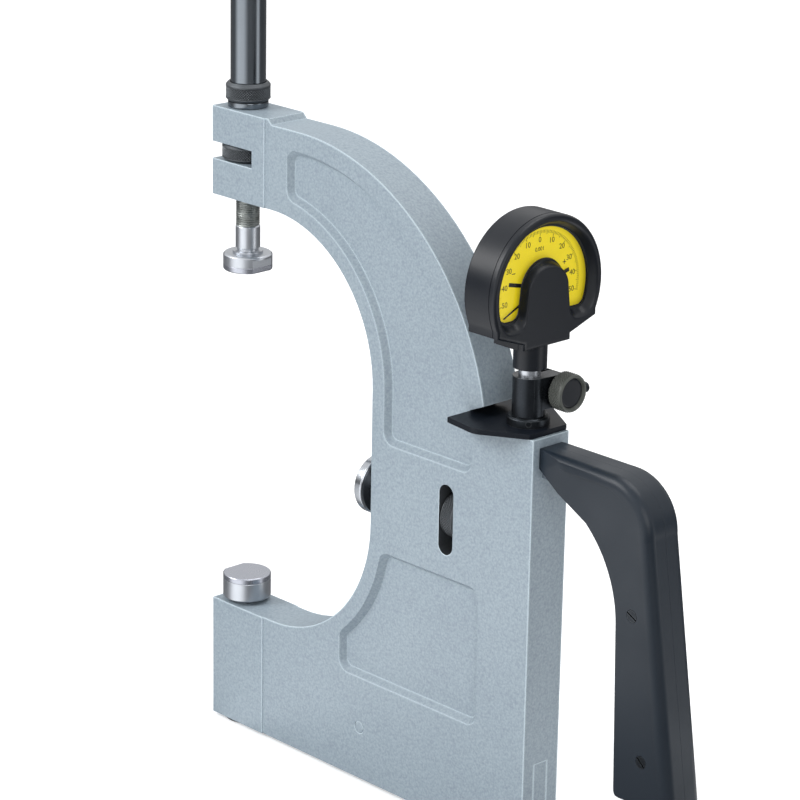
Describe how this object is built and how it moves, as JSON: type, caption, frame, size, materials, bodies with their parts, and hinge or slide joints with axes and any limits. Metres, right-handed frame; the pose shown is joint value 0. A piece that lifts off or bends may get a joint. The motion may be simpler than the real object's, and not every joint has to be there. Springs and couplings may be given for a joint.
{
  "type": "indicating snap gauge",
  "caption": "Indicating snap gauge: cast C-frame with sensitive lower anvil, adjustable upper anvil, work stop, swivelling dial comparator and plastic handle.",
  "frame": {"origin": "centre of the lower (sensitive) anvil's measuring face", "axes": "+Z along the measuring axis towards the upper anvil, +X from the anvils to the comparator and the handle"},
  "size_m": [0.2461, 0.0546, 0.3347],
  "materials": {
    "frame_paint": "fine speckled satin",
    "ground_steel": "ground",
    "hard_metal": "lapped",
    "black_steel": "blackened satin",
    "bright_chrome": "polished",
    "case_black": "satin",
    "dial_yellow": "matt print",
    "needle_black": "matt",
    "clear_lens": "clear",
    "movement_brass": "fine",
    "grip_plastic": "fine matt"
  },
  "bodies": {
    "frame_body": {"frame": "frame_paint", "base_cover": "frame_paint", "base_cover_screws": "black_steel", "rear_cover": "frame_paint", "spring_plug": "black_steel", "lower_guide_bush": "ground_steel", "lever_pivot_pin": "ground_steel", "rod_bushes": "movement_brass", "spindle_bush": "ground_steel", "spindle_key": "ground_steel", "spindle_tube": "black_steel", "tube_cap": "black_steel", "guard_plate": "black_steel", "ring_nut": "black_steel", "clamp_sleeve": "black_steel", "handle_core": "ground_steel", "handle_shell_near": "grip_plastic", "handle_shell_far": "grip_plastic", "handle_screws": "black_steel", "handle_mount_screws": "black_steel", "stop_guide_pin": "ground_steel"},
    "anvil": {"anvil_stem": "ground_steel", "anvil_tip": "hard_metal", "anvil_spring": "ground_steel"},
    "lever": {"rocker_lever": "ground_steel", "rocker_pads": "hard_metal"},
    "rod": {"push_rod": "ground_steel"},
    "spindle_body": {"spindle": "ground_steel", "upper_anvil": "ground_steel", "upper_anvil_tip": "hard_metal"},
    "spindle_wheel": {"adjusting_nut": "black_steel"},
    "collar": {"lock_collar": "black_steel"},
    "stop": {"stop_disc": "bright_chrome", "stop_backing": "black_steel", "stop_rod": "ground_steel"},
    "stop_wheel": {"stop_nut": "black_steel"},
    "clamp": {"clamp_screw": "black_steel", "clamp_knob": "black_steel", "knob_pin": "black_steel"},
    "gauge": {"gauge_housing": "case_black", "gauge_back_cover": "case_black", "gauge_stem": "bright_chrome", "gauge_mask": "case_black", "gauge_lens": "clear_lens", "dial_plate": "dial_yellow", "movement_bridge": "movement_brass", "back_cover_screws": "black_steel"},
    "plunger": {"gauge_plunger": "ground_steel", "plunger_tip": "hard_metal"},
    "sector": {"sector_lever": "movement_brass"},
    "needle": {"pinion_arbor": "ground_steel", "pointer": "needle_black"},
    "low_mark": {"marker_low": "needle_black"},
    "high_mark": {"marker_high": "needle_black"},
    "fine_screw": {"fine_adjust_screw": "bright_chrome"}
  },
  "joints": [
    {"name": "anvil_slide", "type": "slide", "parent": "frame_body", "child": "anvil", "axis": [0, 0, -1], "range_m": [0, 0.00113], "stiffness_N_per_m": 400, "springref_m": -0.002, "deforming": ["anvil_spring"]},
    {"name": "lever_rock", "type": "hinge", "parent": "frame_body", "child": "lever", "pos_m": [0.0768, 0, -0.0398], "axis": [0, -1, 0], "range_deg": [0, 0.8431]},
    {"name": "rod_slide", "type": "slide", "parent": "frame_body", "child": "rod", "axis": [0, 0, 1], "range_m": [0, 0.00113]},
    {"name": "spindle_slide", "type": "slide", "parent": "frame_body", "child": "spindle_body", "axis": [0, 0, 1], "range_m": [-0.028, 0.022]},
    {"name": "adjusting_nut_turn", "type": "hinge", "parent": "frame_body", "child": "spindle_wheel", "pos_m": [0, 0, 0.17305], "axis": [0, 0, 1], "range_deg": [-7925, 10085]},
    {"name": "collar_turn", "type": "hinge", "parent": "frame_body", "child": "collar", "pos_m": [0, 0, 0.1965], "axis": [0, 0, 1], "range_deg": [0, 60]},
    {"name": "stop_slide", "type": "slide", "parent": "frame_body", "child": "stop", "axis": [-1, 0, 0], "range_m": [-0.0004, 0.02]},
    {"name": "stop_nut_turn", "type": "hinge", "parent": "frame_body", "child": "stop_wheel", "pos_m": [0.1219, 0, 0.0578], "axis": [1, 0, 0], "range_deg": [-146, 7202]},
    {"name": "clamp_turn", "type": "hinge", "parent": "frame_body", "child": "clamp", "pos_m": [0.1536, 0.0092, 0.1136], "axis": [1, 0, 0], "range_deg": [0, 180]},
    {"name": "gauge_swivel", "type": "hinge", "parent": "frame_body", "child": "gauge", "pos_m": [0.1536, 0, 0.1527], "axis": [0, 0, 1], "range_deg": [-45, 45]},
    {"name": "plunger_slide", "type": "slide", "parent": "gauge", "child": "plunger", "axis": [0, 0, 1], "range_m": [0, 0.00113]},
    {"name": "sector_turn", "type": "hinge", "parent": "gauge", "child": "sector", "pos_m": [0.1509, -0.00258, 0.13767], "axis": [1, 0, 0], "range_deg": [0, 25.1]},
    {"name": "pointer_turn", "type": "hinge", "parent": "gauge", "child": "needle", "pos_m": [0.1574, 0, 0.1527], "axis": [-1, 0, 0], "range_deg": [0, 230]},
    {"name": "low_marker_turn", "type": "hinge", "parent": "gauge", "child": "low_mark", "pos_m": [0.1555, 0, 0.1527], "axis": [1, 0, 0], "range_deg": [-180, 28]},
    {"name": "high_marker_turn", "type": "hinge", "parent": "gauge", "child": "high_mark", "pos_m": [0.1563, 0, 0.1527], "axis": [1, 0, 0], "range_deg": [-28, 180]},
    {"name": "fine_adjust_turn", "type": "hinge", "parent": "gauge", "child": "fine_screw", "pos_m": [0.157, 0.01845, 0.13683], "axis": [0, 0.3261, -0.9453], "range_deg": [-180, 180]}
  ],
  "couplings": [
    {"joint": "lever_rock", "follows": "anvil_slide", "rad_per_m": 13.021},
    {"joint": "rod_slide", "follows": "anvil_slide", "ratio": 1},
    {"joint": "plunger_slide", "follows": "anvil_slide", "ratio": 1},
    {"joint": "sector_turn", "follows": "anvil_slide", "rad_per_m": 387.54},
    {"joint": "pointer_turn", "follows": "anvil_slide", "rad_per_m": 3552.4},
    {"joint": "adjusting_nut_turn", "follows": "spindle_slide", "rad_per_m": -6283.2},
    {"joint": "stop_nut_turn", "follows": "stop_slide", "rad_per_m": 6283.2}
  ]
}
